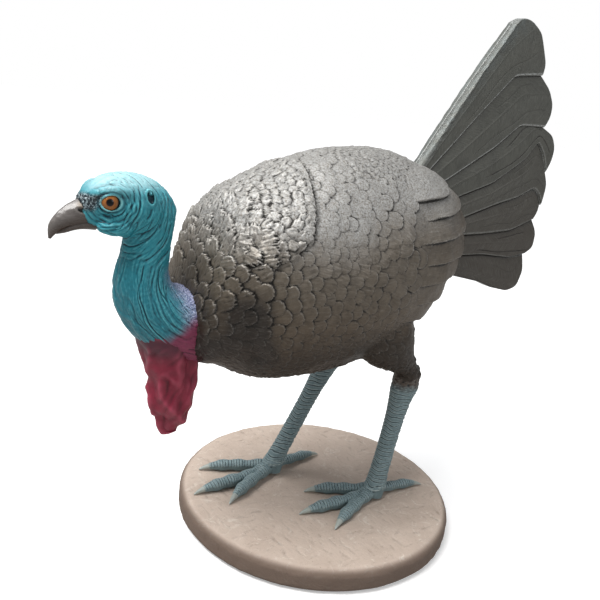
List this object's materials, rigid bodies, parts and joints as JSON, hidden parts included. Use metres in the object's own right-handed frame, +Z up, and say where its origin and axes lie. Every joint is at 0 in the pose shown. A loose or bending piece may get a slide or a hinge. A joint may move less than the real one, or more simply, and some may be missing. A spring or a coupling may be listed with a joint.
{
  "type": "turkey decoy",
  "caption": "Life-size painted brush-turkey decoy: hollow cast body, bare blue neck with red wattle, upright fan tail, steel-cored legs, on a round weighted cement base.",
  "frame": {"origin": "middle of the base underside, on the ground", "axes": "+Z up; the bird faces -Y and its left side is +X; the bird's middle plane is x = 0"},
  "size_m": [0.35, 0.7055, 0.64],
  "materials": {
    "plumage": "satin bronze-brown paint with silvery dry-brushed highlights",
    "tail_paint": "satin greenish grey-brown paint",
    "skin_blue": "satin turquoise paint darkened in the wrinkles",
    "wattle_red": "satin crimson paint fading to lavender at the collar",
    "bill_horn": "satin grey-brown",
    "eye_glass": "glossy orange-brown iris round a black pupil",
    "leg_scales": "satin teal-grey, darker between the scales",
    "cement": "rough trowelled pinkish-brown",
    "pad_rubber": "matte black",
    "plate_steel": "matte black",
    "fastener_steel": "zinc plated",
    "ply": "sealed plywood",
    "laminate": "unpainted glass-fibre laminate"
  },
  "bodies": {
    "root": {"body_shell_left": "plumage", "body_shell_right": "plumage", "left_thigh": "plumage", "right_thigh": "plumage", "tail_feather_left_1": "tail_paint", "tail_feather_left_2": "tail_paint", "tail_feather_left_3": "tail_paint", "tail_feather_left_4": "tail_paint", "tail_feather_left_5": "tail_paint", "tail_feather_left_6": "tail_paint", "tail_feather_left_7": "tail_paint", "tail_feather_right_1": "tail_paint", "tail_feather_right_2": "tail_paint", "tail_feather_right_3": "tail_paint", "tail_feather_right_4": "tail_paint", "tail_feather_right_5": "tail_paint", "tail_feather_right_6": "tail_paint", "tail_feather_right_7": "tail_paint", "head_neck_shell": "skin_blue", "wattle": "wattle_red", "upper_bill": "bill_horn", "lower_bill": "bill_horn", "left_eye": "eye_glass", "right_eye": "eye_glass", "left_shank": "leg_scales", "right_shank": "leg_scales", "left_foot": "leg_scales", "right_foot": "leg_scales", "base_shell": "cement", "base_pad": "pad_rubber", "base_plate": "plate_steel", "hip_crossbar": "plate_steel", "spine_bar": "plate_steel", "tail_brackets": "plate_steel", "base_plate_screws": "fastener_steel", "leg_rod_nuts": "fastener_steel", "leg_rod_washers": "fastener_steel", "spine_bolt": "fastener_steel", "neck_rod_nuts": "fastener_steel", "left_leg_rod": "fastener_steel", "right_leg_rod": "fastener_steel", "neck_rod": "fastener_steel", "breast_bulkhead": "ply", "rump_bulkhead": "ply", "body_seam_strip": "laminate", "tail_core": "laminate"}
  },
  "joints": []
}
